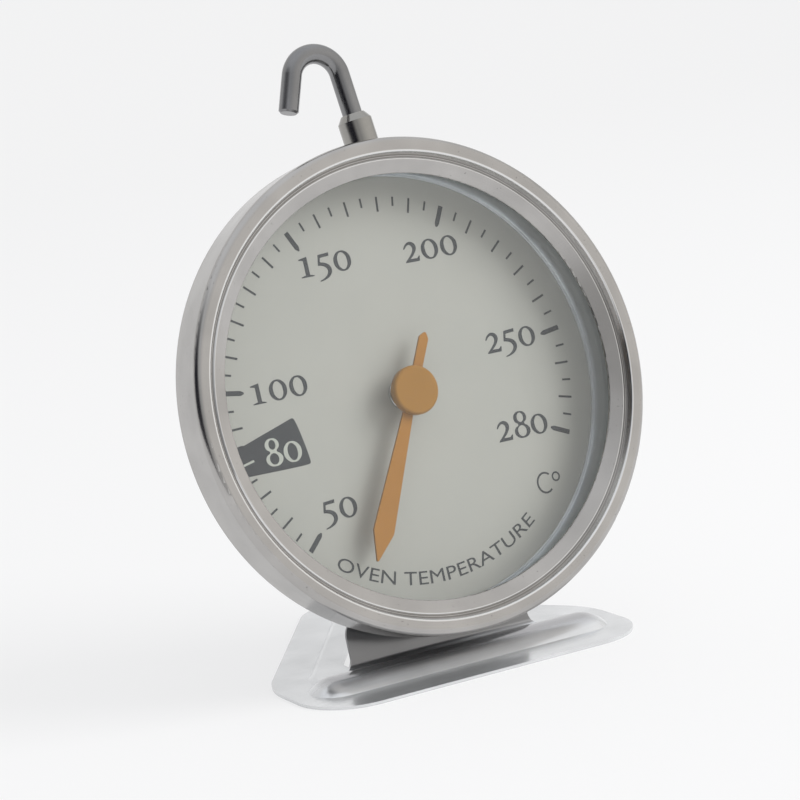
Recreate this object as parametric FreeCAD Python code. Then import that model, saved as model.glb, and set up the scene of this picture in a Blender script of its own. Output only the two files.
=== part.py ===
"""Dial oven thermometer, 50 to 280 C, with a wire hook and a pressed-steel foot.

Units are millimetres.  The object faces -Y, +Z is up, and the origin is on the
ground, under the middle of the overall box.

The round case is built lying in its own frame first: its centre is the origin,
+Y points to the back, and "h" is the height above the dial face towards the
reader (so y = -h).  The finished case parts are then leaned back by LEAN and
lifted to CASE_Z, where the tongue of the foot holds them.
"""
import os
from math import atan2, cos, hypot, pi, radians, sin, tan

import FreeCAD
import Part

V = FreeCAD.Vector
os.makedirs("parts", exist_ok=True)
SAME = 1e-4            # two lengths closer than this are equal
FIT_GAP = 0.02         # between parts that only just touch

# ---------------------------------------------------------------- case placing
LEAN = 14.0            # the case leans back by this angle, degrees
CASE_Y = -6.2          # centre of the case, front to back
CASE_Z = 33.5          # centre of the case above the ground

# ---------------------------------------------------------------- bezel ring
BEZEL_R = 31.0         # outside radius
BEZEL_REAR_R = 30.8    # slight draft of the side wall
BEZEL_REAR_H = 0.6     # rear edge of the side wall
BEZEL_FRONT_H = 7.3    # flat front land
BEZEL_LAND_R = 29.05   # inner edge of the front land
GROOVE_R = 28.6        # bottom of the narrow groove inside the land
GROOVE_H = 6.35
STEP_R = 28.2          # outer edge of the inner land
STEP_H = 6.6
OPENING_R = 26.55      # window opening
OPENING_H = 5.85       # the inner land slopes down to the window
BEZEL_T = 0.45         # sheet thickness, front
STEP_BACK = 0.15       # the back of the step lies this far outside its front
SKIRT_T = 0.5          # sheet thickness, side wall

# ---------------------------------------------------------------- glass stack
GLASS_R = 28.4
GLASS_H = (4.25, 5.2)
GASKET_R = (27.0, 28.1)
SPACER_R = (27.6, 28.2)
SPACER_H = (0.0, 4.25)
SPACER_LIP_R = 27.2    # narrow lip that lies on the dial
SPACER_LIP_H = 0.3
DIAL_R = 28.6
DIAL_H = (-0.4, 0.0)

# ---------------------------------------------------------------- case pan
PAN_R = 30.25          # wall inside the bezel
PAN_T = 0.5
PAN_RIM_H = 6.0
PAN_LEDGE_H = -0.4     # the dial rests here
CUP_R = 26.4           # narrower rear cup
BACK_H = -4.6          # outside face of the back
VENT_R = 0.9
VENT_PITCH_R = 17.0
VENT_ANGLES = (-24.0, 0.0, 24.0)

# ---------------------------------------------------------------- movement
AXIS_DROP = 0.35       # the shaft sits this far below the centre of the case
SHAFT_R = 0.5
BORE_R = 0.55          # running bore of the two bushes
SHAFT_H = (-4.4, 3.45)
DIAL_HOLE_R = 1.5
PAN_HOLE_R = 2.0
COLLET_R = 1.6
COLLET_H = (-3.1, -1.05)
COIL_H = (-3.0, -1.2)
COIL_T = 0.3
COIL_PITCH = 1.65
COIL_TURNS = 5.5
FLANGE_BUSH_R = 2.05   # flange of the front bush, on the dial
FLANGE_BUSH_T = 0.45
FRONT_BUSH_R = 1.45
FRONT_BUSH_TOP = 2.0
REAR_BUSH_R = 2.6      # button of the rear bush, behind the pan
REAR_BUSH_H = -5.15
THRUST_R = 1.3
THRUST_H = (-1.05, -0.8)
POINTER_BUSH_R = 1.2
POINTER_BUSH_H = 2.1
ANCHOR_R = 1.1
ANCHOR_RIVET_R = 1.3
ANCHOR_RIVET_T = 0.35
ANCHOR_SHANK_R = 0.7

# ---------------------------------------------------------------- pointer
POINTER_TURN = 27.0    # rest position, clockwise from straight down
POINTER_H = (2.45, 2.8)
POINTER_TIP = 22.2
POINTER_BARB = 18.2    # where the head is widest
POINTER_HEAD_W = 2.8
POINTER_NECK_W = 1.25
POINTER_TAIL = 7.8
CAP_R = 3.1
CAP_H = (2.8, 3.9)

# ---------------------------------------------------------------- hook
HOOK_H = 4.1           # the hook stands half way along the side wall
HOOK_LEAN = 5.7        # towards its open side, degrees
HOOK_SEAT = BEZEL_R - 0.02
WIRE_R = 1.25
STUD_R = 1.0           # turned-down lower end
STUD_TOP = 1.0
STUD_HOLE_R = 1.05
WIRE_CHAMFER = 0.25
HOOK_BEND_R = 3.35     # centre line of the bend
HOOK_BEND = 155.0      # degrees
HOOK_STEM = 8.95       # from the side wall up to the bend
HOOK_END = 4.9         # straight free end
FERRULE_R = 2.15
FERRULE_TOP = 2.85     # shoulder above the side wall
FERRULE_CONE = 3.75
FERRULE_TOP_R = 1.5
NUT_R = 1.6
NUT_S = (-2.2, -1.0)

# ---------------------------------------------------------------- foot
SHEET = 0.4
FOOT_SIDE = 23.6       # half width
FOOT_FRONT = -22.5
FOOT_SHOULDER = -7.0   # sides begin to close here
FOOT_HALF_ANGLE = 34.5
FOOT_TOP = 0.95        # top of the raised panel
FLANGE_FRONT = 7.2
FLANGE_RADII = (7.5, 12.0, 6.32)      # front corners, shoulders, back tip
PANEL_LOW_RADII = (4.2, 8.0, 4.0)
PANEL_ROUND = 1.0      # along the top edge
PANEL_HIGH_RADII = (3.0, 6.8, 2.8)
FLANGE_SIDE = 4.1
SLOPE = 1.2            # width of the panel's sloping side
BEAD_TOP = 2.0         # crest of the bead along the front
BEAD_R = 4.85
BEAD_Y = -13.9
BEAD_HALF = 17.6       # half length between the centres of its round ends
WINDOW_HALF = 12.9
WINDOW_INSET = 8.6
BEND_R = 0.8
TONGUE_FLARE = 2.0     # extra half width at the root
TONGUE_LENGTH = 24.0
RIVET_AT = ((-4.5, -21.5), (4.5, -21.5), (0.0, -15.65))
RIVET_R = 1.2
RIVET_HEAD_R = 2.1
RIVET_HEAD_H = 0.9
CLINCH_R = 1.75
CLINCH_H = 0.6
WASHER_R = 2.2
WASHER_T = 0.45


# ================================================================ helpers
def save(shape, name):
    """Write one finished solid to its own STEP file."""
    if shape.ShapeType != "Solid":
        shape = shape.Solids[0]
    shape.exportStep("parts/" + name + ".step")


def corner(before, at, after, radius):
    """Tangent points and middle of a round of the given radius at a corner."""
    ax, ay = before[0] - at[0], before[1] - at[1]
    bx, by = after[0] - at[0], after[1] - at[1]
    la, lb = hypot(ax, ay), hypot(bx, by)
    ax, ay, bx, by = ax / la, ay / la, bx / lb, by / lb
    half = abs(atan2(ax * by - ay * bx, ax * bx + ay * by)) / 2
    run = radius / tan(half)
    mx, my = ax + bx, ay + by
    lm = hypot(mx, my)
    reach = radius / sin(half) - radius
    start = (at[0] + ax * run, at[1] + ay * run)
    middle = (at[0] + mx / lm * reach, at[1] + my / lm * reach)
    end = (at[0] + bx * run, at[1] + by * run)
    return start, middle, end


def outline(points, place):
    """Closed wire through (u, v, radius) corners; place maps (u, v) to space."""
    count = len(points)
    marks = []
    for i in range(count):
        at = points[i]
        if at[2] > 0:
            marks.append(corner(points[i - 1], at, points[(i + 1) % count], at[2]))
        else:
            marks.append((at[:2], None, at[:2]))
    edges = []
    for i in range(count):
        start, middle, end = marks[i]
        if middle:
            edges.append(Part.Arc(place(*start), place(*middle), place(*end)).toShape())
        following = marks[(i + 1) % count][0]
        if hypot(following[0] - end[0], following[1] - end[1]) > SAME:
            edges.append(Part.makeLine(place(*end), place(*following)))
    return Part.Wire(edges)


def turned(points):
    """Ring or disc from an (r, h, radius) outline, turned about the case axis."""
    wire = outline(points, lambda r, h: V(r, -h, 0))
    solid = Part.Face(wire).revolve(V(0, 0, 0), V(0, 1, 0), 360)
    return solid


def box_profile(r0, r1, h0, h1, edge=0.0):
    """Rectangular (r, h) outline with the same small round at every corner."""
    return [(r0, h0, edge), (r1, h0, edge), (r1, h1, edge), (r0, h1, edge)]


def rod(radius, h0, h1, x=0.0, z=0.0):
    """Round bar along the case axis between two heights."""
    return Part.makeCylinder(radius, h1 - h0, V(x, -h0, z), V(0, -1, 0))


def flat(points, h0, h1):
    """Sheet cut from (x, z, radius) corners between two heights."""
    wire = outline(points, lambda x, z: V(x, -h0, z))
    return Part.Face(wire).extrude(V(0, h0 - h1, 0))


def lean_back(shape):
    """Move a case part from the case frame to its place on the foot."""
    moved = shape.copy()
    moved.rotate(V(0, 0, 0), V(1, 0, 0), -LEAN)
    moved.translate(V(0, CASE_Y, CASE_Z))
    return moved


# ================================================================ case
def bezel_ring():
    """Pressed ring: side wall, front land, step and sloping inner land."""
    inner_front = BEZEL_FRONT_H - BEZEL_T
    inner_edge = OPENING_H - BEZEL_T
    ring = turned([
        (BEZEL_REAR_R, BEZEL_REAR_H, 0.15),
        (BEZEL_R, BEZEL_FRONT_H, 0.85),
        (BEZEL_LAND_R, BEZEL_FRONT_H, 0.25),
        (GROOVE_R, GROOVE_H, 0.1),
        (STEP_R, STEP_H, 0.2),
        (OPENING_R, OPENING_H, 0.15),
        (OPENING_R, inner_edge, 0.15),
        (GROOVE_R + STEP_BACK, STEP_H - BEZEL_T - STEP_BACK, 0.2),
        (BEZEL_LAND_R + STEP_BACK, inner_front, 0.3),
        (BEZEL_R - SKIRT_T, inner_front, 0.4),
        (BEZEL_REAR_R - SKIRT_T, BEZEL_REAR_H, 0.15),
    ])
    return ring.cut(hook_bar(STUD_HOLE_R, -4.0, 1.0))


def lens_glass():
    """Flat window glass with softened edges."""
    return turned([
        (0, GLASS_H[0], 0),
        (GLASS_R, GLASS_H[0], 0.2),
        (GLASS_R, GLASS_H[1], 0.2),
        (0, GLASS_H[1], 0),
    ])


def lens_gasket():
    """Sealing ring between the glass and the sloping land of the bezel."""
    inner, outer = GASKET_R
    rise = (STEP_H - STEP_BACK - OPENING_H) / (GROOVE_R + STEP_BACK - OPENING_R)
    land = OPENING_H - BEZEL_T - FIT_GAP
    return turned([
        (inner, GLASS_H[1], 0),
        (outer, GLASS_H[1], 0),
        (outer, land + rise * (outer - OPENING_R), 0),
        (inner, land + rise * (inner - OPENING_R), 0),
    ])


def dial_spacer():
    """Rolled ring that holds the glass clear of the dial, with a lip at its foot."""
    inner, outer = SPACER_R
    foot, top = SPACER_H
    return turned([
        (SPACER_LIP_R, foot, 0),
        (outer, foot, 0.1),
        (outer, top, 0.1),
        (inner, top, 0.1),
        (inner, SPACER_LIP_H, 0.1),
        (SPACER_LIP_R, SPACER_LIP_H, 0.1),
    ])


def dial_plate():
    """Round sheet-metal dial with a hole for the front bush."""
    disc = turned(box_profile(0, DIAL_R, *DIAL_H))
    return disc.cut(rod(DIAL_HOLE_R, -1, 1, 0, -AXIS_DROP))


def case_pan():
    """Stepped pan: wall inside the bezel, ledge for the dial, rear cup."""
    ledge_out = PAN_LEDGE_H - PAN_T
    back_in = BACK_H + PAN_T
    pan = turned([
        (0, BACK_H, 0),
        (CUP_R, BACK_H, 1.4),
        (CUP_R, ledge_out, 0.3),
        (PAN_R, ledge_out, 1.5),
        (PAN_R, PAN_RIM_H, 0.15),
        (PAN_R - PAN_T, PAN_RIM_H, 0.15),
        (PAN_R - PAN_T, PAN_LEDGE_H, 1.0),
        (CUP_R - PAN_T, PAN_LEDGE_H, 0.3),
        (CUP_R - PAN_T, back_in, 0.9),
        (0, back_in, 0),
    ])
    cuts = [hook_bar(STUD_HOLE_R, -4.0, 1.0)]
    cuts.append(rod(PAN_HOLE_R, BACK_H - 1, back_in + 1, 0, -AXIS_DROP))
    for x, z in RIVET_AT:
        cuts.append(rod(RIVET_R, BACK_H - 1, back_in + 1, x, z))
    for angle in VENT_ANGLES:
        x = VENT_PITCH_R * sin(radians(angle))
        z = VENT_PITCH_R * cos(radians(angle))
        cuts.append(rod(VENT_R, BACK_H - 1, back_in + 1, x, z))
    x, z = anchor_place()
    cuts.append(rod(ANCHOR_SHANK_R, BACK_H - 1, back_in + 1, x, z))
    return pan.cut(Part.makeCompound(cuts))


# ================================================================ movement
def on_axis(shape):
    """Move a part turned about the case centre down to the shaft's axis."""
    moved = shape.copy()
    moved.translate(V(0, 0, -AXIS_DROP))
    return moved


def front_bush():
    """Flanged bush staked into the dial; the shaft runs in it."""
    return turned([
        (BORE_R, -0.7, 0),
        (2.0, -0.7, 0),
        (2.0, DIAL_H[0], 0),
        (DIAL_HOLE_R, DIAL_H[0], 0),
        (DIAL_HOLE_R, 0.0, 0),
        (FLANGE_BUSH_R, 0.0, 0),
        (FLANGE_BUSH_R, FLANGE_BUSH_T, 0.15),
        (FRONT_BUSH_R, FLANGE_BUSH_T, 0.15),
        (FRONT_BUSH_R, FRONT_BUSH_TOP, 0.15),
        (BORE_R, FRONT_BUSH_TOP, 0),
    ])


def rear_bush():
    """Blind bush pressed into the back of the pan."""
    back_in = BACK_H + PAN_T
    return turned([
        (0, -4.5, 0),
        (BORE_R, -4.5, 0),
        (BORE_R, -3.2, 0),
        (1.5, -3.2, 0.15),
        (1.5, -3.75, 0),
        (2.7, -3.75, 0.1),
        (2.7, back_in, 0),
        (PAN_HOLE_R, back_in, 0),
        (PAN_HOLE_R, BACK_H, 0),
        (REAR_BUSH_R, BACK_H, 0),
        (REAR_BUSH_R, REAR_BUSH_H, 0.35),
        (0, REAR_BUSH_H, 0),
    ])


def pointer_shaft():
    """Straight steel arbor with chamfered ends."""
    return turned([
        (0, SHAFT_H[0], 0),
        (SHAFT_R - 0.1, SHAFT_H[0], 0),
        (SHAFT_R, SHAFT_H[0] + 0.1, 0),
        (SHAFT_R, SHAFT_H[1] - 0.1, 0),
        (SHAFT_R - 0.1, SHAFT_H[1], 0),
        (0, SHAFT_H[1], 0),
    ])


def thrust_washer():
    """Washer between the collet and the front bush."""
    return turned(box_profile(SHAFT_R, THRUST_R, *THRUST_H))


def coil_collet():
    """Collar pressed on the shaft that carries the coil's inner end."""
    return turned(box_profile(SHAFT_R, COLLET_R, *COLLET_H))


def coil_point(turn, offset):
    """Point on the flat coil after so many turns, offset across the strip."""
    r = COLLET_R + COIL_T / 2 + COIL_PITCH * turn + offset
    angle = 2 * pi * turn
    return V(r * cos(angle), -COIL_H[0], r * sin(angle))


def anchor_place():
    """Centre of the post that holds the coil's outer end."""
    turn = COIL_TURNS - 0.01
    point = coil_point(turn, 0)
    return point.x, point.z - AXIS_DROP


def bimetal_coil():
    """Flat spiral strip from the collet out to the anchor post."""
    steps = int(COIL_TURNS * 24)
    turns = [COIL_TURNS * i / steps for i in range(steps + 1)]
    inside = Part.BSplineCurve()
    inside.interpolate([coil_point(t, -COIL_T / 2) for t in turns])
    outside = Part.BSplineCurve()
    outside.interpolate([coil_point(t, COIL_T / 2) for t in turns])
    first = Part.makeLine(coil_point(0, -COIL_T / 2), coil_point(0, COIL_T / 2))
    last = Part.makeLine(coil_point(COIL_TURNS, COIL_T / 2), coil_point(COIL_TURNS, -COIL_T / 2))
    wire = Part.Wire(Part.sortEdges([inside.toShape(), last, outside.toShape(), first])[0])
    return Part.Face(wire).extrude(V(0, COIL_H[0] - COIL_H[1], 0))


def coil_anchor():
    """Slotted post riveted through the back of the pan."""
    x, z = anchor_place()
    back_in = BACK_H + PAN_T
    post = rod(ANCHOR_R, back_in, COIL_H[1] + 0.2, x, z)
    post = post.fuse(rod(ANCHOR_SHANK_R, BACK_H, back_in, x, z))
    post = post.fuse(rod(ANCHOR_RIVET_R, BACK_H - ANCHOR_RIVET_T, BACK_H, x, z))
    return post.cut(on_axis(bimetal_coil()))


# ================================================================ pointer
def turn_pointer(shape):
    """Turn a pointer part from straight down to its rest position."""
    turned_shape = shape.copy()
    turned_shape.rotate(V(0, 0, 0), V(0, 1, 0), POINTER_TURN)
    return turned_shape


def pointer():
    """Flat needle: slim tail, neck that widens, and an arrow head."""
    neck = POINTER_NECK_W / 2
    head = POINTER_HEAD_W / 2
    blade = flat([
        (0, -POINTER_TIP, 0.12),
        (head, -POINTER_BARB, 0.25),
        (neck, -2.0, 0),
        (neck, POINTER_TAIL - 0.8, 0.3),
        (0, POINTER_TAIL, 0.2),
        (-neck, POINTER_TAIL - 0.8, 0.3),
        (-neck, -2.0, 0),
        (-head, -POINTER_BARB, 0.25),
    ], *POINTER_H)
    eye = rod(1.9, *POINTER_H)
    blade = blade.fuse(eye).removeSplitter()
    return turn_pointer(blade.cut(rod(SHAFT_R, 0, 5)))


def pointer_bush():
    """Small collar under the needle, pressed on the shaft."""
    return turned(box_profile(SHAFT_R, POINTER_BUSH_R, POINTER_BUSH_H, POINTER_H[0]))


def hub_cap():
    """Round cap over the middle of the needle, bored for the shaft end."""
    return turned([
        (SHAFT_R, CAP_H[0], 0),
        (CAP_R, CAP_H[0], 0.1),
        (CAP_R, CAP_H[1], 0.4),
        (0, CAP_H[1], 0),
        (0, SHAFT_H[1], 0),
        (SHAFT_R, SHAFT_H[1], 0),
    ])


# ================================================================ hook
def hook_frame(shape):
    """Stand a hook part on top of the side wall, leaned to its open side."""
    moved = shape.copy()
    moved.rotate(V(0, 0, 0), V(0, 1, 0), -HOOK_LEAN)
    moved.translate(V(0, -HOOK_H, HOOK_SEAT))
    return moved


def hook_bar(radius, s0, s1):
    """Round bar along the hook's stem between two distances from the wall."""
    return hook_frame(Part.makeCylinder(radius, s1 - s0, V(0, 0, s0)))


def hook_wire():
    """Bent round wire with a turned-down stud at its lower end."""
    stem = Part.makeCylinder(WIRE_R, HOOK_STEM - STUD_TOP, V(0, 0, STUD_TOP))
    stud = Part.makeCylinder(STUD_R, STUD_TOP - NUT_S[0], V(0, 0, NUT_S[0]))
    circle = Part.Wire(Part.makeCircle(WIRE_R, V(0, 0, HOOK_STEM), V(0, 0, 1)))
    bend = Part.Face(circle).revolve(V(-HOOK_BEND_R, 0, HOOK_STEM), V(0, -1, 0), HOOK_BEND)
    free = Part.makeCylinder(WIRE_R, HOOK_END, V(0, 0, HOOK_STEM))
    tip = [e for e in free.Edges if abs(e.BoundBox.ZMin - HOOK_STEM - HOOK_END) < SAME
           and abs(e.BoundBox.ZMax - HOOK_STEM - HOOK_END) < SAME]
    free = free.makeChamfer(WIRE_CHAMFER, tip)
    free.rotate(V(-HOOK_BEND_R, 0, HOOK_STEM), V(0, -1, 0), HOOK_BEND)
    wire = stem.fuse([stud, bend, free]).removeSplitter()
    return hook_frame(wire)


def hook_ferrule():
    """Collar with a coned top, seated on the curve of the side wall."""
    body = Part.makeCylinder(FERRULE_R, FERRULE_TOP + 1.0, V(0, 0, -1.0))
    cone = Part.makeCone(FERRULE_R, FERRULE_TOP_R, FERRULE_CONE - FERRULE_TOP, V(0, 0, FERRULE_TOP))
    bore = Part.makeCylinder(WIRE_R, 6, V(0, 0, STUD_TOP))
    stud = Part.makeCylinder(STUD_R, 6, V(0, 0, -4.0))
    ferrule = hook_frame(body.fuse(cone).cut(bore).cut(stud))
    return ferrule.cut(rod(BEZEL_R, -2, 10)).removeSplitter()


def hook_nut():
    """Round nut inside the pan wall, with a curved seat."""
    nut = hook_bar(NUT_R, *NUT_S).cut(hook_bar(STUD_R, -4, 2))
    return nut.common(rod(PAN_R - PAN_T, -2, 10))


# ================================================================ foot
def foot_corners(side, front, radii):
    """Rounded outline of the foot moved in by the side and front margins."""
    slope = tan(radians(FOOT_HALF_ANGLE))
    inset = side / sin(radians(FOOT_HALF_ANGLE))
    apex = FOOT_SHOULDER + FOOT_SIDE / slope - inset
    half = FOOT_SIDE - side
    shoulder = apex - half / slope
    near = FOOT_FRONT + front
    return [
        (-half, near, radii[0]),
        (half, near, radii[0]),
        (half, shoulder, radii[1]),
        (0, apex, radii[2]),
        (-half, shoulder, radii[1]),
    ]


def plan(points, z):
    """Closed wire lying at height z."""
    return outline(points, lambda x, y: V(x, y, z))


def panel(z0, z1):
    """Raised panel as a solid with sloping sides."""
    low = foot_corners(FLANGE_SIDE, FLANGE_FRONT, PANEL_LOW_RADII)
    high = foot_corners(FLANGE_SIDE + SLOPE, FLANGE_FRONT + SLOPE, PANEL_HIGH_RADII)
    return Part.makeLoft([plan(low, z0), plan(high, z1)], True, True)


def round_top(solid, z, radius):
    """Round the edges that lie in the plane at height z."""
    edges = [e for e in solid.Edges
             if abs(e.BoundBox.ZMin - z) < SAME and abs(e.BoundBox.ZMax - z) < SAME]
    return solid.makeFillet(radius, edges)


def bead(radius, floor):
    """Round-topped bead along the front, kept only above the floor height."""
    z = BEAD_TOP - BEAD_R
    bar = Part.makeCylinder(radius, 2 * BEAD_HALF, V(-BEAD_HALF, BEAD_Y, z), V(1, 0, 0))
    ends = [Part.makeSphere(radius, V(x, BEAD_Y, z)) for x in (-BEAD_HALF, BEAD_HALF)]
    keep = Part.makeBox(80, 20, 10, V(-40, BEAD_Y - 10, floor))
    return bar.fuse(ends).removeSplitter().common(keep)


def foot_plate():
    """Flat flange with a hollow raised panel and the window behind the tongue."""
    flange = Part.Face(plan(foot_corners(0, 0, FLANGE_RADII), 0)).extrude(V(0, 0, SHEET))
    raised = round_top(panel(0.0, FOOT_TOP), FOOT_TOP, PANEL_ROUND)
    hollow = round_top(panel(-SHEET, FOOT_TOP - SHEET), FOOT_TOP - SHEET, PANEL_ROUND - 0.2)
    plate = flange.fuse([raised, bead(BEAD_R, 0.1)])
    return plate.cut([hollow, bead(BEAD_R - SHEET, -1.0), window()])


def bend_centre():
    """Centre of the bend between the panel and the tongue, in the YZ plane."""
    lean = radians(LEAN)
    back = -BACK_H
    face_y = CASE_Y + back * cos(lean)
    face_z = CASE_Z - back * sin(lean)
    z = FOOT_TOP + BEND_R
    y = face_y + ((z - face_z) * sin(lean) - BEND_R) / cos(lean)
    return y, z


def window():
    """Opening left in the plate where the tongue was cut free and bent up."""
    slope = tan(radians(FOOT_HALF_ANGLE))
    apex = FOOT_SHOULDER + FOOT_SIDE / slope - WINDOW_INSET / sin(radians(FOOT_HALF_ANGLE))
    root = bend_centre()[0]
    corners = [
        (-WINDOW_HALF, root, 0),
        (WINDOW_HALF, root, 0),
        (WINDOW_HALF, apex - WINDOW_HALF / slope, 3.0),
        (0, apex, 2.5),
        (-WINDOW_HALF, apex - WINDOW_HALF / slope, 3.0),
    ]
    return Part.Face(plan(corners, -1)).extrude(V(0, 0, 5))


def tongue_strip():
    """Full-width strip with the bend, before its sides are trimmed."""
    lean = radians(LEAN)
    y, z = bend_centre()
    along = (sin(lean), cos(lean))
    normal = (cos(lean), -sin(lean))
    turn = radians(90 - LEAN) / 2
    outer = BEND_R + SHEET

    def at(radius, angle):
        return V(0, y + radius * sin(angle), z - radius * cos(angle))

    def tip(radius):
        return V(0, y + radius * normal[0] + TONGUE_LENGTH * along[0],
                 z + radius * normal[1] + TONGUE_LENGTH * along[1])

    edges = [
        Part.makeLine(V(0, y - 0.6, z - BEND_R), at(BEND_R, 0)),
        Part.Arc(at(BEND_R, 0), at(BEND_R, turn), at(BEND_R, 2 * turn)).toShape(),
        Part.makeLine(at(BEND_R, 2 * turn), tip(BEND_R)),
        Part.makeLine(tip(BEND_R), tip(outer)),
        Part.makeLine(tip(outer), at(outer, 2 * turn)),
        Part.Arc(at(outer, 2 * turn), at(outer, turn), at(outer, 0)).toShape(),
        Part.makeLine(at(outer, 0), V(0, y - 0.6, z - outer)),
        Part.makeLine(V(0, y - 0.6, z - outer), V(0, y - 0.6, z - BEND_R)),
    ]
    strip = Part.Face(Part.Wire(edges)).extrude(V(40, 0, 0))
    strip.translate(V(-20, 0, 0))
    return strip


def tongue():
    """Tapering tongue of the foot, flared at the root and drilled for rivets."""
    slope = tan(radians(FOOT_HALF_ANGLE))
    root = -(CASE_Z / cos(radians(LEAN)) - 1.2)
    shoulder = root + 5.5
    tip = shoulder + WINDOW_HALF / slope
    wide = WINDOW_HALF + TONGUE_FLARE
    corners = [
        (-wide, root - 2.5, 0),
        (wide, root - 2.5, 0),
        (wide, root + 0.2, 0),
        (WINDOW_HALF, root + 1.4, 1.8),
        (WINDOW_HALF, shoulder, 2.5),
        (0, tip, 3.2),
        (-WINDOW_HALF, shoulder, 2.5),
        (-WINDOW_HALF, root + 1.4, 1.8),
        (-wide, root + 0.2, 0),
    ]
    trim = lean_back(flat(corners, -12.0, 4.0))
    strip = tongue_strip().common(trim)
    holes = [lean_back(rod(RIVET_R, -12, 0, x, z)) for x, z in RIVET_AT]
    return strip.cut(Part.makeCompound(holes))


def stand_foot():
    """Pressed foot in one piece: flange, raised panel and upright tongue."""
    return foot_plate().fuse(tongue()).removeSplitter()


def stand_rivet(x, z):
    """Rivet through the tongue, the pan and a washer."""
    outside = BACK_H - SHEET
    inside = BACK_H + PAN_T
    clinch_h = inside + WASHER_T
    shank = rod(RIVET_R, outside, clinch_h, x, z)
    head = turned([
        (0, outside - RIVET_HEAD_H, 0),
        (RIVET_HEAD_R, outside - RIVET_HEAD_H, 0.75),
        (RIVET_HEAD_R, outside, 0),
        (0, outside, 0),
    ])
    head.translate(V(x, 0, z))
    clinch = rod(CLINCH_R, clinch_h, clinch_h + CLINCH_H, x, z)
    return shank.fuse([head, clinch]).removeSplitter()


def rivet_washer(x, z):
    """Washer under the clinched end inside the pan."""
    inside = BACK_H + PAN_T
    washer = rod(WASHER_R, inside, inside + WASHER_T, x, z)
    return washer.cut(rod(RIVET_R, inside - 1, inside + 2, x, z))


# ================================================================ build
CASE_PARTS = {
    "bezel_ring": bezel_ring,
    "lens_glass": lens_glass,
    "lens_gasket": lens_gasket,
    "dial_spacer": dial_spacer,
    "dial_plate": dial_plate,
    "case_pan": case_pan,
    "front_bush": front_bush,
    "rear_bush": rear_bush,
    "pointer_shaft": pointer_shaft,
    "thrust_washer": thrust_washer,
    "coil_collet": coil_collet,
    "bimetal_coil": bimetal_coil,
    "coil_anchor": coil_anchor,
    "pointer": pointer,
    "pointer_bush": pointer_bush,
    "hub_cap": hub_cap,
    "hook_wire": hook_wire,
    "hook_ferrule": hook_ferrule,
    "hook_nut": hook_nut,
}

ON_AXIS = {
    "front_bush", "rear_bush", "pointer_shaft", "thrust_washer", "coil_collet",
    "bimetal_coil", "pointer", "pointer_bush", "hub_cap",
}

for name, build in CASE_PARTS.items():
    part = build()
    if name in ON_AXIS:
        part = on_axis(part)
    save(lean_back(part), name)

for place, (rivet_x, rivet_z) in zip(("left", "right", "top"), RIVET_AT):
    save(lean_back(stand_rivet(rivet_x, rivet_z)), "stand_rivet_" + place)
    save(lean_back(rivet_washer(rivet_x, rivet_z)), "rivet_washer_" + place)

save(stand_foot(), "stand_foot")
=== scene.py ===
"""Dial oven thermometer on a pressed foot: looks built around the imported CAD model.

Everything is in metres, in the CAD frame: the object faces -Y, +Z is up, and the
origin is on the ground under the middle of the object.  Parts of the round case
are drawn in the case frame: x to the right, z up along the leaning dial, and h
the height above the dial face towards the reader.
"""
from math import cos, pi, radians, sin

import bmesh
import bpy
from mathutils import Matrix, Vector


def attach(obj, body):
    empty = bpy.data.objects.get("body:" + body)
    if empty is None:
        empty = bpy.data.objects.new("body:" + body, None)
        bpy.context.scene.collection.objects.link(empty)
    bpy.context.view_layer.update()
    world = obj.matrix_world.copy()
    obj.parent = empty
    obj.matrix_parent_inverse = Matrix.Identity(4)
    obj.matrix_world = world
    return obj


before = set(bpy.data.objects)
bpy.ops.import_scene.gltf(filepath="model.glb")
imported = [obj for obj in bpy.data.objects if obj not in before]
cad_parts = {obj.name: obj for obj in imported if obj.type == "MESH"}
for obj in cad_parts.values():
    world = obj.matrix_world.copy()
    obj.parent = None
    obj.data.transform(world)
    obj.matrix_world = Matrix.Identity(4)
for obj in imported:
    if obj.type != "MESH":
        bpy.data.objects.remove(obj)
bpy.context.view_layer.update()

MM = 0.001

# ------------------------------------------------------------------ the case
LEAN = radians(14.0)                         # the case leans back
CASE_AT = Vector((0.0, -6.2, 33.5)) * MM     # its centre, in the dial's plane
CASE = Matrix.Translation(CASE_AT) @ Matrix.Rotation(-LEAN, 4, "X")

# ------------------------------------------------------------------ dial print
PRINT_H = 0.02                 # thickness of the print, mm
TICK_CENTRE_Z = 0.26           # the scale's centre, above the case centre
TICK_START = 45.04             # angle of the first mark, clockwise from straight down
TICK_STEP = 5.41               # degrees of turn for each 5 degrees of heat
TICK_OUT = 24.4                # outer end of every mark, mm
TICK_IN = {"minor": 23.2, "ten": 22.5, "major": 21.6}
TICK_WIDE = {"minor": 0.26, "ten": 0.28, "major": 0.62}
FIRST_HEAT, LAST_HEAT = 50, 280
MAJOR_HEATS = (50, 100, 150, 200, 250, 280)
MARKED_HEAT = 80               # its mark is light, on the dark field
MAJOR_NIB = (0.45, 0.1)        # length and half width of a major mark's pointed end
UNDER_FACE = -0.01             # the print's underside, just inside the dial
PALE_H = (PRINT_H - 0.005, 0.035)            # pale print lies on the dark field
WORDS_R = (22.9, 24.6)         # tops and feet of the curved words
WORDS_HALF_TURN = radians(36)

# ------------------------------------------------------------------ grain
CLOUD_SCALE = 0.16             # slow drift of colour and gloss, per mm
FINE_SCALE = 6.0               # tumbled grain
GRAIN_DEPTH = 4e-6             # metres
SPECK_SCALE = 3.4
SPECK_FROM, SPECK_FULL = 0.745, 0.78         # noise values where a dark dot starts and is full
PEEL_DEPTH = 3.6e-6

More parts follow.
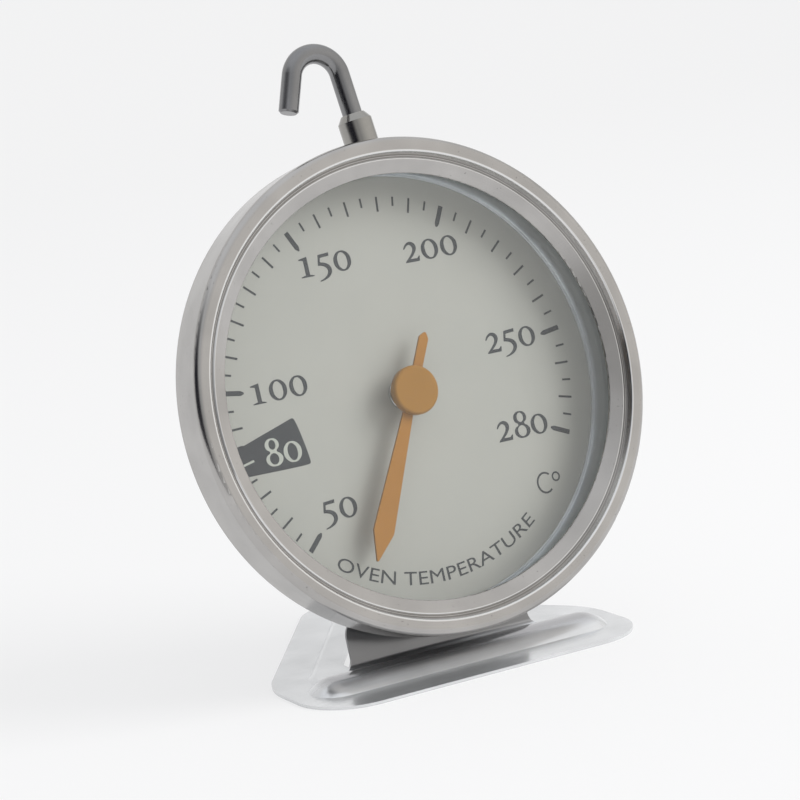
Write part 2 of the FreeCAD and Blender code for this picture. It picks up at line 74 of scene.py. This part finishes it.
# ------------------------------------------------------------------ dial lacquer and glass
DIAL_LIGHT = (0.448, 0.438, 0.412)
DIAL_SHADE = (0.430, 0.421, 0.396)
DIAL_MOTTLE = (0.36, 0.38, 0.36)
DIAL_GRAIN = (0.60, 0.61, 0.58)
DIAL_METALLIC = 0.25
GLASS_CLEAR = (0.985, 0.992, 0.985)
GLASS_TINT = (0.975, 0.985, 0.98)
GLASS_HEAD_ON = 0.04           # share mirrored head on
GLASS_POWER = 5.0              # how late the rest comes in towards a slant

# ------------------------------------------------------------------ wear, painted edge highlights and painted shade on the foot, mm
SPECK_COLOUR = (0.08, 0.075, 0.07)
GRIME_COLOUR = (0.12, 0.12, 0.12)
BEZEL_WORN_LIT_EDGES = ((28.28, 0.17), (29.1, 0.17))  # radius and width of each worn edge, lightened as a painted highlight line
# painted highlight on the worn edges: lighter than the steel
EDGE_WEAR_AND_HIGHLIGHT = (0.74, 0.74, 0.74)
TONGUE_SHADE_Z = (0.9, 1.6)             # painted shade on the foot's tongue starts here
TONGUE_SHADE_Y = (-11.2, -10.2)
TONGUE_SHADE_X = (13.0, 13.4)
# painted shade: the tongue's colour, dark where the case shades it
TONGUE_PAINTED_SHADE = (0.25, 0.25, 0.255)
BEAD_SHADE_Z = (1.1, 1.9)            # painted shade: the foot's colour turns darker over this height, from the bead up
# painted shade on the bead, darker than the foot's steel
BEAD_PAINTED_SHADE = (0.48, 0.48, 0.49)

# ------------------------------------------------------------------ camera
AIM = Vector((-0.47, -6.19, 32.41)) * MM
VIEW_TURN = radians(28.15)     # the camera stands to the left of the front
VIEW_UP = radians(10.89)
VIEW_ROLL = radians(6.28)
VIEW_FAR = 0.3666
LENS_MM = 132.0

# ------------------------------------------------------------------ studio
TABLE_GLOW = (0.95, 0.95, 0.955, 1)
TABLE_GREY = (0.22, 0.22, 0.22, 1)
TABLE_HALF = 1.6               # half width, metres
TABLE_FRONT = -1.2
SWEEP_START = 0.55             # the table curves up from here
SWEEP_R = 0.5
BACKDROP_TOP = 1.6
KEY_PLACE = (0.46, -0.40, 0.42)
KEY_SIZE = (0.42, 0.42)
KEY_POWER = 3.8
ROOM_GREY = (0.50, 0.50, 0.50)
ROOM_LOBES = (                 # direction, where it starts and is full, colour
    ((0.0, 0.0, 1.0), 0.25, 0.85, (0.95, 0.97, 1.0)),
    ((0.80, -0.55, 0.15), 0.35, 0.95, (1.0, 0.98, 0.95)),
    ((-0.95, -0.20, 0.10), 0.68, 0.90, (0.015, 0.015, 0.025)),
)


# ================================================================== materials
def new_tree(name):
    """An empty node material and its tree."""
    mat = bpy.data.materials.new(name)
    mat.use_nodes = True
    mat.node_tree.nodes.clear()
    return mat, mat.node_tree


def add(tree, kind, inputs=None, **settings):
    """A node with its settings; an input is a plain value or another node's socket."""
    node = tree.nodes.new("ShaderNode" + kind)
    for key, value in settings.items():
        setattr(node, key, value)
    for key, value in (inputs or {}).items():
        if isinstance(value, bpy.types.NodeSocket):
            tree.links.new(value, node.inputs[key])
        else:
            node.inputs[key].default_value = value
    return node


def calc(tree, operation, first, second=0.0, third=0.0):
    """One Math node's result."""
    return add(tree, "Math", {0: first, 1: second, 2: third}, operation=operation).outputs[0]


def spread(tree, value, low, high, start=0.0, end=1.0):
    """value from low..high mapped to start..end and held at the ends."""
    inputs = {"Value": value, "From Min": low, "From Max": high, "To Min": start, "To Max": end}
    return add(tree, "MapRange", inputs).outputs[0]


def noise(tree, vector, scale, detail=2.0, rough=0.5, w=None):
    """Noise value around 0.5; with w it is four-dimensional."""
    inputs = {"Vector": vector, "Scale": scale, "Detail": detail, "Roughness": rough}
    if w is not None:
        inputs["W"] = w
    size = "3D" if w is None else "4D"
    return add(tree, "TexNoise", inputs, noise_dimensions=size).outputs[0]


def blend_colour(tree, share, first, second):
    """Mix of two colours."""
    node = add(tree, "Mix", {0: share}, data_type="RGBA")
    for index, colour in ((6, first), (7, second)):
        if isinstance(colour, bpy.types.NodeSocket):
            tree.links.new(colour, node.inputs[index])
        else:
            node.inputs[index].default_value = (*colour, 1.0)
    return node.outputs[2]


def case_place(tree):
    """Position in the case frame, in millimetres."""
    here = add(tree, "TexCoord").outputs["Object"]
    inputs = {"Vector": here, "Location": CASE_AT, "Rotation": (-LEAN, 0, 0)}
    local = add(tree, "Mapping", inputs, vector_type="TEXTURE").outputs[0]
    return add(tree, "VectorMath", {0: local, 3: 1 / MM}, operation="SCALE").outputs[0]


def body_place(tree):
    """Position in the object's own frame, in millimetres."""
    here = add(tree, "TexCoord").outputs["Object"]
    return add(tree, "VectorMath", {0: here, 3: 1 / MM}, operation="SCALE").outputs[0]


def axis_distance(tree, parts):
    """Distance from the case axis, from a separated position."""
    across = calc(tree, "MULTIPLY", parts["X"], parts["X"])
    up = calc(tree, "MULTIPLY", parts["Z"], parts["Z"])
    return calc(tree, "SQRT", calc(tree, "ADD", across, up))


def ring_grain(tree, place, fine):
    """Fine lines that run round the case axis, from noise in radius and height."""
    parts = add(tree, "SeparateXYZ", {0: place}).outputs
    radius = axis_distance(tree, parts)
    around = add(tree, "CombineXYZ", {
        0: calc(tree, "DIVIDE", parts["X"], radius),
        1: calc(tree, "DIVIDE", parts["Z"], radius),
        2: calc(tree, "MULTIPLY", radius, fine),
    }).outputs[0]
    return noise(tree, around, 2.5, 3.0, 0.6, calc(tree, "MULTIPLY", parts["Y"], fine))


def line_grain(tree, place, stretch):
    """Fine straight lines: noise drawn out along one direction."""
    inputs = {"Vector": place, "Scale": stretch}
    return noise(tree, add(tree, "Mapping", inputs).outputs[0], 1.0, 3.0, 0.6)


def ring_tangent(tree, place):
    """Direction round the case axis, for brushed reflections."""
    parts = add(tree, "SeparateXYZ", {0: place}).outputs
    turned = add(tree, "CombineXYZ", {
        0: parts["Z"],
        2: calc(tree, "MULTIPLY", parts["X"], -1.0),
    }).outputs[0]
    inputs = {"Vector": turned, "Rotation": (-LEAN, 0, 0)}
    back = add(tree, "VectorRotate", inputs, rotation_type="EULER_XYZ").outputs[0]
    return add(tree, "VectorMath", {0: back}, operation="NORMALIZE").outputs[0]


def near_edges(tree, place, edges):
    """1 on the worn edges of a turned part, where the painted highlight goes, and 0 away from them;
    an edge is (radius, width).
    """
    radius = axis_distance(tree, add(tree, "SeparateXYZ", {0: place}).outputs)
    worn_and_lit = 0.0
    for at, width in edges:
        off = calc(tree, "ABSOLUTE", calc(tree, "SUBTRACT", radius, at))
        worn_and_lit = calc(tree, "MAXIMUM", worn_and_lit, spread(tree, off, width * 0.4, width, 1.0, 0.0))
    return worn_and_lit


def foot_painted_shade(tree, place, base):
    """The foot's colour with painted shade: darker from the bead up, and darker still on the tongue.
    """
    parts = add(tree, "SeparateXYZ", {0: place}).outputs
    base = blend_colour(tree, spread(tree, parts["Z"], *BEAD_SHADE_Z), base, BEAD_PAINTED_SHADE)
    high = spread(tree, parts["Z"], *TONGUE_SHADE_Z)
    back = spread(tree, parts["Y"], *TONGUE_SHADE_Y)
    inside = spread(tree, calc(tree, "ABSOLUTE", parts["X"]), *TONGUE_SHADE_X, 1.0, 0.0)
    tongue_shade = calc(tree, "MULTIPLY", calc(tree, "MULTIPLY", high, back), inside)
    return blend_colour(tree, tongue_shade, base, TONGUE_PAINTED_SHADE)


def metal(name, colour, rough, grain=None, lines=0.0, bump=1.0, tint=None, stretch=None,
          anisotropy=0.0, cloud=0.12, specks=0.0, metallic=1.0, edges=(), foot_shade=False):
    """Steel or brass with grain in its roughness, a little colour drift and fine bump.

    grain is "ring" for marks round the case axis, "line" for straight marks drawn
    out by stretch, or None for an even, tumbled finish.  cloud darkens the grain,
    specks adds dark dots, edges lightens worn edges as a painted highlight line,
    and the last flag adds painted shade to the foot's bead and tongue.
    """
    mat, tree = new_tree(name)
    place = case_place(tree) if grain == "ring" else body_place(tree)
    soft = noise(tree, place, CLOUD_SCALE, 2.0, 0.5)
    fine = noise(tree, place, FINE_SCALE, 3.0, 0.6)
    if grain == "ring":
        streak = ring_grain(tree, place, lines)
    elif grain == "line":
        streak = line_grain(tree, place, stretch)
    else:
        streak = fine
    shade = tint or tuple(c * 0.86 for c in colour)
    drift = spread(tree, soft, 0.3, 0.7, 0.0, 1.0)
    base = blend_colour(tree, drift, colour, shade)
    darker = spread(tree, streak, 0.25, 0.75, 0.0, cloud)
    base = blend_colour(tree, darker, base, GRIME_COLOUR)
    if specks:
        dots = noise(tree, place, SPECK_SCALE, 1.0, 0.4)
        share = spread(tree, dots, SPECK_FROM, SPECK_FULL, 0.0, specks)
        base = blend_colour(tree, share, base, SPECK_COLOUR)
    wear = calc(tree, "ADD", spread(tree, streak, 0.2, 0.8, rough * 0.8, rough * 1.2),
                spread(tree, soft, 0.3, 0.7, -0.03, 0.03))
    if edges:
        worn_and_lit = near_edges(tree, place, edges)
        # worn edges: lighter colour and less rough; the lighter colour is a painted highlight line
        base = blend_colour(tree, worn_and_lit, base, EDGE_WEAR_AND_HIGHLIGHT)
        wear = calc(tree, "SUBTRACT", wear, calc(tree, "MULTIPLY", worn_and_lit, rough * 0.5))
    if foot_shade:
        # painted shade on the foot's bead and tongue
        base = foot_painted_shade(tree, place, base)
    relief = calc(tree, "ADD", streak, calc(tree, "MULTIPLY", fine, 0.4))
    depth = GRAIN_DEPTH * bump
    normal = add(tree, "Bump", {"Strength": 0.35, "Distance": depth, "Height": relief})
    inputs = {
        "Base Color": base, "Metallic": metallic, "Roughness": wear,
        "Normal": normal.outputs[0], "Anisotropic": anisotropy,
    }
    if anisotropy and grain == "ring":
        inputs["Tangent"] = ring_tangent(tree, place)
        inputs["Anisotropic Rotation"] = 0.25
    shader = add(tree, "BsdfPrincipled", inputs)
    add(tree, "OutputMaterial", {0: shader.outputs[0]})
    return mat


def paint(name, colour, dark, rough, grain=2.2):
    """Lacquer or ink: slight mottling and the fine peel of a sprayed coat."""
    mat, tree = new_tree(name)
    place = body_place(tree)
    soft = noise(tree, place, 0.35, 2.0)
    peel = noise(tree, place, grain, 3.0, 0.55)
    base = blend_colour(tree, spread(tree, soft, 0.3, 0.7), colour, dark)
    wear = spread(tree, peel, 0.3, 0.7, rough * 0.88, rough * 1.12)
    normal = add(tree, "Bump", {"Strength": 0.25, "Distance": PEEL_DEPTH, "Height": peel})
    shader = add(tree, "BsdfPrincipled", {
        "Base Color": base, "Roughness": wear, "Normal": normal.outputs[0],
        "Specular IOR Level": 0.3,
    })
    add(tree, "OutputMaterial", {0: shader.outputs[0]})
    return mat


def dial_face():
    """Silver lacquer over lightly brushed sheet, a touch green, with faint mottling."""
    mat, tree = new_tree("dial_face")
    place = case_place(tree)
    soft = noise(tree, place, 0.09, 2.0)
    mottle = noise(tree, place, 0.8, 4.0, 0.6)
    grain = line_grain(tree, place, (0.5, 0.5, 9.0))
    base = blend_colour(tree, spread(tree, soft, 0.3, 0.7), DIAL_LIGHT, DIAL_SHADE)
    base = blend_colour(tree, spread(tree, mottle, 0.3, 0.75, 0.0, 0.10), base, DIAL_MOTTLE)
    base = blend_colour(tree, spread(tree, grain, 0.3, 0.7, 0.0, 0.08), base, DIAL_GRAIN)
    wear = spread(tree, grain, 0.3, 0.7, 0.42, 0.52)
    relief = calc(tree, "ADD", grain, calc(tree, "MULTIPLY", mottle, 0.5))
    normal = add(tree, "Bump", {"Strength": 0.3, "Distance": GRAIN_DEPTH, "Height": relief})
    shader = add(tree, "BsdfPrincipled", {
        "Base Color": base, "Metallic": DIAL_METALLIC, "Roughness": wear, "Normal": normal.outputs[0],
    })
    add(tree, "OutputMaterial", {0: shader.outputs[0]})
    return mat


def window_glass():
    """Clear flat glass: mirrors 4% head on and more at a slant, and lets the rest through."""
    mat, tree = new_tree("window_glass")
    place = case_place(tree)
    smear = noise(tree, place, 0.12, 3.0)
    clear = add(tree, "BsdfTransparent", {
        "Color": blend_colour(tree, spread(tree, smear, 0.3, 0.7), GLASS_CLEAR, GLASS_TINT),
    })
    gloss = add(tree, "BsdfGlossy", {
        "Color": (1, 1, 1, 1), "Roughness": spread(tree, smear, 0.3, 0.8, 0.01, 0.05),
    })
    edge = add(tree, "LayerWeight", {"Blend": 0.5}).outputs["Facing"]
    slant = calc(tree, "POWER", edge, GLASS_POWER)
    share = calc(tree, "MULTIPLY_ADD", slant, 1.0 - GLASS_HEAD_ON, GLASS_HEAD_ON)
    mix = add(tree, "MixShader", {0: share, 1: clear.outputs[0], 2: gloss.outputs[0]})
    add(tree, "OutputMaterial", {0: mix.outputs[0]})
    return mat


def dark_rubber():
    """Black seal, hardly seen under the bezel."""
    return paint("seal", (0.035, 0.035, 0.036), (0.025, 0.025, 0.026), 0.62, 5.0)


MATERIALS = {
    "bezel": metal("bezel_steel", (0.48, 0.468, 0.455), 0.21, "ring", 9.0, 0.5,
                   anisotropy=0.2, cloud=0.05, specks=0.5, edges=BEZEL_WORN_LIT_EDGES),
    "case": metal("case_steel", (0.57, 0.575, 0.585), 0.26, "ring", 5.0, 0.8, anisotropy=0.3),
    "foot": metal("foot_steel", (0.81, 0.82, 0.83), 0.19, "line", 0.0, 0.4,
                  stretch=(0.35, 6.0, 6.0), cloud=0.08, metallic=0.72, foot_shade=True),
    "turned": metal("turned_steel", (0.62, 0.61, 0.60), 0.2, None, 0.0, 0.6, cloud=0.05),
    "brass": metal("collet_brass", (0.70, 0.52, 0.26), 0.3, None, 0.0, 0.6),
    "bimetal": metal("bimetal", (0.46, 0.45, 0.43), 0.32, "line", 0.0, 0.8,
                     tint=(0.40, 0.36, 0.30), stretch=(1.5, 9.0, 1.5)),
    "hook": metal("hook_steel", (0.27, 0.27, 0.275), 0.2, "line", 0.0, 1.0,
                  stretch=(7.0, 7.0, 0.5), cloud=0.16),
    "ferrule": metal("ferrule_steel", (0.38, 0.37, 0.35), 0.16, "line", 0.0, 0.8,
                     stretch=(1.0, 1.0, 9.0), cloud=0.12),
    "wall": metal("wall_steel", (0.69, 0.71, 0.74), 0.40, "ring", 1.5, 0.2, cloud=0.03),
    "rivet": metal("rivet_steel", (0.55, 0.54, 0.53), 0.25, None, 0.0, 1.0),
    "pointer": paint("pointer_paint", (0.37, 0.160, 0.022), (0.35, 0.149, 0.019), 0.42),
    "cap": paint("cap_paint", (0.34, 0.158, 0.021), (0.32, 0.148, 0.018), 0.4),
    "ink": paint("dial_ink", (0.036, 0.039, 0.047), (0.044, 0.047, 0.055), 0.5, 4.0),
    "pale_ink": paint("dial_pale_ink", (0.48, 0.49, 0.45), (0.45, 0.46, 0.42), 0.5, 4.0),
    "dial": dial_face(),
    "glass": window_glass(),
    "seal": dark_rubber(),
}

FINISH = {
    "bezel_ring": "bezel", "lens_glass": "glass", "lens_gasket": "seal", "dial_spacer": "wall",
    "dial_plate": "dial", "case_pan": "case", "front_bush": "turned", "rear_bush": "turned",
    "pointer_shaft": "turned", "thrust_washer": "turned", "coil_collet": "brass",
    "bimetal_coil": "bimetal", "coil_anchor": "turned", "pointer": "pointer",
    "pointer_bush": "turned", "hub_cap": "cap", "hook_wire": "hook",
    "hook_ferrule": "ferrule", "hook_nut": "turned", "stand_foot": "foot",
    "stand_rivet_left": "rivet", "stand_rivet_right": "rivet", "stand_rivet_top": "rivet",
    "rivet_washer_left": "turned", "rivet_washer_right": "turned", "rivet_washer_top": "turned",
}


def finish_nodes():
    """Give every CAD node its material."""
    for name, finish in FINISH.items():
        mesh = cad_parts[name].data
        mesh.materials.clear()
        mesh.materials.append(MATERIALS[finish])


# ================================================================== pieces
def dial_point(x, z, h):
    """Point of the case frame, given in millimetres, in the row frame."""
    return CASE @ (Vector((x, -h, z)) * MM)


def ink_piece(name, shapes, finish, low=UNDER_FACE, high=PRINT_H):
    """Thin printed piece on the dial; each shape is an outline and its holes, in mm."""
    curve = bpy.data.curves.new(name, "CURVE")
    curve.dimensions = "2D"
    curve.fill_mode = "BOTH"
    curve.extrude = (high - low) / 2 * MM
    curve.resolution_u = 5
    for loops in shapes:
        for loop in loops:
            draw_loop(curve, loop)
    shell = bpy.data.objects.new(name, curve)
    bpy.context.scene.collection.objects.link(shell)
    bpy.context.view_layer.update()
    graph = bpy.context.evaluated_depsgraph_get()
    mesh = bpy.data.meshes.new_from_object(shell.evaluated_get(graph))
    bpy.data.objects.remove(shell)
    mesh.transform(Matrix.Translation((0, 0, (high + low) / 2 * MM)))
    mesh.transform(CASE @ Matrix.Rotation(pi / 2, 4, "X"))
    mesh.name = name
    return finish_piece(name, mesh, finish, "case")


def draw_loop(curve, loop):
    """One closed spline; a point is (x, y), with a third value for a smooth point."""
    spline = curve.splines.new("BEZIER")
    spline.bezier_points.add(len(loop) - 1)
    spline.use_cyclic_u = True
    for point, mark in zip(spline.bezier_points, loop):
        point.co = (mark[0] * MM, mark[1] * MM, 0)
        kind = "AUTO" if len(mark) > 2 else "VECTOR"
        point.handle_left_type = kind
        point.handle_right_type = kind


def finish_piece(name, mesh, finish, body):
    """Object for a mesh in the row frame, with its material and body."""
    clean = bmesh.new()
    clean.from_mesh(mesh)
    bmesh.ops.remove_doubles(clean, verts=clean.verts, dist=1e-7)
    bmesh.ops.recalc_face_normals(clean, faces=clean.faces)
    clean.to_mesh(mesh)
    clean.free()
    mesh.materials.clear()
    mesh.materials.append(MATERIALS[finish])
    piece = bpy.data.objects.new(name, mesh)
    bpy.context.scene.collection.objects.link(piece)
    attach(piece, body)
    return piece


def ellipse(x, y, across, up, turn=0.0):
    """Smooth closed loop of eight points."""
    loop = []
    for i in range(8):
        a = 2 * pi * i / 8
        u, v = across * cos(a), up * sin(a)
        loop.append((x + u * cos(turn) - v * sin(turn), y + u * sin(turn) + v * cos(turn), 1))
    return loop


# Old-style figures, in mm on their baseline; a third value marks a smooth point.
GLYPHS = {
    "0": (2.8, [ellipse(1.22, 1.26, 1.22, 1.3), ellipse(1.22, 1.26, 0.66, 1.08, 0.06)]),
    "1": (2.45, [[(0, 0), (1.82, 0), (1.82, 0.12), (1.24, 0.27), (1.24, 2.55), (0.06, 2.34),
                  (0.06, 2.2), (0.66, 2.1), (0.66, 0.27), (0, 0.12)]]),
    "2": (2.5, [[(0.0, 1.76), (0.3, 2.25, 1), (0.98, 2.6, 1), (1.62, 2.36, 1), (1.84, 1.82, 1),
                 (1.55, 1.15, 1), (0.78, 0.42), (1.72, 0.4), (2.02, 0.68), (2.14, 0.66),
                 (2.0, 0.0), (0.0, 0.0), (0.0, 0.13), (0.8, 0.86, 1), (1.22, 1.4, 1),
                 (1.28, 1.8, 1), (1.06, 2.16, 1), (0.72, 2.2, 1), (0.14, 1.7)]]),
    "5": (2.35, [[(0.36, 2.5), (1.9, 2.62), (1.84, 2.18), (0.6, 2.1), (0.48, 1.56),
                  (1.15, 1.38, 1), (1.72, 0.96, 1), (1.88, 0.36, 1), (1.6, -0.22, 1),
                  (0.94, -0.64, 1), (0.02, -0.86), (0.0, -0.72), (0.72, -0.44, 1),
                  (1.18, -0.04, 1), (1.32, 0.38, 1), (1.12, 0.8, 1), (0.72, 1.04, 1),
                  (0.1, 1.18)]]),
    "8": (2.5, [[(1.15, -0.06, 1), (1.95, 0.18, 1), (2.3, 0.84, 1), (2.05, 1.4, 1),
                 (1.62, 1.78, 1), (1.98, 2.2, 1), (2.08, 2.68, 1), (1.8, 3.2, 1),
                 (1.17, 3.4, 1), (0.5, 3.2, 1), (0.2, 2.66, 1), (0.32, 2.12, 1),
                 (0.72, 1.72, 1), (0.22, 1.34, 1), (0.0, 0.82, 1), (0.34, 0.18, 1)],
                ellipse(1.17, 2.6, 0.46, 0.6), ellipse(1.12, 0.86, 0.62, 0.7)]),
}

# Each number, where it starts and its baseline.
NUMERALS = (("50", -14.5, -13.9), ("100", -20.4, 2.0), ("150", -10.2, 16.15),
            ("200", 4.55, 15.6), ("250", 13.2, 2.3), ("280", 11.95, -9.0))

# Wedge with rounded inner corners, behind the 80.
DARK_FIELD = [(-24.0, -2.9), (-15.95, -0.5), (-15.72, -0.5, 1), (-15.48, -0.78, 1),
              (-14.55, -5.95, 1), (-14.6, -6.3, 1), (-14.85, -6.42, 1), (-23.7, -6.4)]


def figures(text, x, baseline):
    """Outlines of a number that starts at x on its baseline."""
    shapes = []
    for letter in text:
        advance, loops = GLYPHS[letter]
        shapes.append([[(px + x, py + baseline, *more) for px, py, *more in loop] for loop in loops])
        x += advance
    return shapes


def tick(heat):
    """Outline of one scale mark; a major mark has a pointed inner end."""
    turn = radians(TICK_START + (heat - FIRST_HEAT) / 5 * TICK_STEP)
    kind = "major" if heat in MAJOR_HEATS else "ten" if heat % 10 == 0 else "minor"
    half = TICK_WIDE[kind] / 2
    inner = TICK_IN[kind]
    marks = [(half, TICK_OUT), (-half, TICK_OUT), (-half, inner), (half, inner)]
    if kind == "major":
        nib, point = MAJOR_NIB
        marks[2:] = [(-half, inner + nib), (-point, inner), (point, inner), (half, inner + nib)]
    along = (-sin(turn), -cos(turn))
    return [[(r * along[0] + u * along[1], r * along[1] - u * along[0] + TICK_CENTRE_Z)
             for u, r in marks]]


def scale_marks():
    """All marks, the numbers and the dark field at the marked heat."""
    heats = range(FIRST_HEAT, LAST_HEAT + 1, 5)
    ink_piece("dial_marks", [tick(t) for t in heats if t != MARKED_HEAT], "ink")
    for text, x, baseline in NUMERALS:
        ink_piece("dial_number_" + text, figures(text, x, baseline), "ink")
    ink_piece("dial_field", [[DARK_FIELD]], "ink")
    ink_piece("dial_number_80", figures("80", -20.35, -5.75), "pale_ink", *PALE_H)
    ink_piece("dial_mark_80", [tick(MARKED_HEAT)], "pale_ink", *PALE_H)


def arc_band(x, y, across, up, thick, start, end):
    """Band of even thickness along part of an ellipse, as one closed outline."""
    steps = 24
    outer, inner = [], []
    for i in range(steps + 1):
        a = radians(start + (end - start) * i / steps)
        outer.append((x + across * cos(a), y + up * sin(a)))
        inner.append((x + (across - thick) * cos(a), y + (up - thick) * sin(a)))
    return [outer + inner[::-1]]


def unit_mark():
    """The C and the small raised ring."""
    letter = arc_band(17.15, -15.25, 1.25, 1.4, 0.25, 48, 312)
    ring = [ellipse(18.85, -14.75, 0.6, 0.64), ellipse(18.85, -14.75, 0.38, 0.42)]
    ink_piece("dial_unit", [letter, ring], "ink")


def curved_text(name, text):
    """Plain capitals bent round the foot of the dial, their tops towards the centre."""
    words = bpy.data.curves.new(name, "FONT")
    words.body = text
    words.resolution_u = 4
    words.extrude = 0.001
    shell = bpy.data.objects.new(name, words)
    bpy.context.scene.collection.objects.link(shell)
    bpy.context.view_layer.update()
    graph = bpy.context.evaluated_depsgraph_get()
    mesh = bpy.data.meshes.new_from_object(shell.evaluated_get(graph))
    bpy.data.objects.remove(shell)
    xs = [v.co.x for v in mesh.vertices]
    ys = [v.co.y for v in mesh.vertices]
    wide, tall = max(xs) - min(xs), max(ys) - min(ys)
    low_r, high_r = WORDS_R
    for v in mesh.vertices:
        turn = WORDS_HALF_TURN * (2 * (v.co.x - min(xs)) / wide - 1)
        r = high_r - (high_r - low_r) * (v.co.y - min(ys)) / tall
        h = PRINT_H if v.co.z > 0 else UNDER_FACE
        v.co = dial_point(r * sin(turn), -r * cos(turn) + TICK_CENTRE_Z, h)
    mesh.name = name
    return finish_piece(name, mesh, "ink", "case")


# ================================================================== studio
def studio_floor():
    """Pale table that curves up into the backdrop, lit from inside like a light table."""
    mat, tree = new_tree("pale_table")
    shader = add(tree, "BsdfPrincipled", {
        "Base Color": TABLE_GREY, "Roughness": 0.9,
        "Specular IOR Level": 0.0,
        "Emission Color": TABLE_GLOW, "Emission Strength": 0.72,
    })
    add(tree, "OutputMaterial", {0: shader.outputs[0]})
    line = [(TABLE_FRONT, 0.0)]
    for i in range(17):
        a = radians(90 * i / 16)
        line.append((SWEEP_START + SWEEP_R * sin(a), SWEEP_R - SWEEP_R * cos(a)))
    line.append((SWEEP_START + SWEEP_R, BACKDROP_TOP))
    verts = [(x, y, z) for y, z in line for x in (-TABLE_HALF, TABLE_HALF)]
    faces = [(i, i + 1, i + 3, i + 2) for i in range(0, len(verts) - 2, 2)]
    mesh = bpy.data.meshes.new("studio_table")
    mesh.from_pydata(verts, [], faces)
    mesh.shade_smooth()
    mesh.materials.append(mat)
    table = bpy.data.objects.new("studio_table", mesh)
    bpy.context.scene.collection.objects.link(table)


def softbox(name, place, size, power):
    """Square soft light aimed at the object."""
    light = bpy.data.lights.new(name, "AREA")
    light.shape = "RECTANGLE"
    light.size, light.size_y = size
    light.energy = power
    box = bpy.data.objects.new(name, light)
    box.location = place
    box.rotation_euler = (AIM - Vector(place)).to_track_quat("-Z", "Y").to_euler()
    box.visible_glossy = False
    bpy.context.scene.collection.objects.link(box)


def lobe(tree, towards, aim, low, high, below, colour):
    """The room's colour so far, with another one mixed in around one direction."""
    facing = add(tree, "VectorMath", {0: towards, 1: Vector(aim).normalized()},
                 operation="DOT_PRODUCT").outputs["Value"]
    return blend_colour(tree, spread(tree, facing, low, high), below, colour)


def world_light():
    """Pale room: brighter above and to the right, and a dark doorway to the left."""
    world = bpy.data.worlds.new("studio")
    world.use_nodes = True
    tree = world.node_tree
    tree.nodes.clear()
    towards = add(tree, "TexCoord").outputs["Generated"]
    room = ROOM_GREY
    for aim, low, high, colour in ROOM_LOBES:
        room = lobe(tree, towards, aim, low, high, room, colour)
    back = add(tree, "Background", {"Color": room, "Strength": 1.0})
    add(tree, "OutputWorld", {0: back.outputs[0]})
    bpy.context.scene.world = world


def camera():
    """Long lens from the left, a little above, slightly rolled."""
    lens = bpy.data.cameras.new("camera")
    lens.lens = LENS_MM
    lens.sensor_width = 36
    lens.clip_start = 0.01
    view = bpy.data.objects.new("camera", lens)
    bpy.context.scene.collection.objects.link(view)
    ahead = Vector((sin(VIEW_TURN) * cos(VIEW_UP), cos(VIEW_TURN) * cos(VIEW_UP), -sin(VIEW_UP)))
    turn = ahead.to_track_quat("-Z", "Y").to_matrix().to_4x4()
    view.matrix_world = (Matrix.Translation(AIM - ahead * VIEW_FAR) @ turn
                         @ Matrix.Rotation(-VIEW_ROLL, 4, "Z"))
    bpy.context.scene.camera = view


camera()
finish_nodes()
scale_marks()
unit_mark()
curved_text("dial_words", "OVEN TEMPERATURE")
studio_floor()
world_light()
softbox("key", KEY_PLACE, KEY_SIZE, KEY_POWER)
bpy.context.scene.view_settings.view_transform = "Standard"
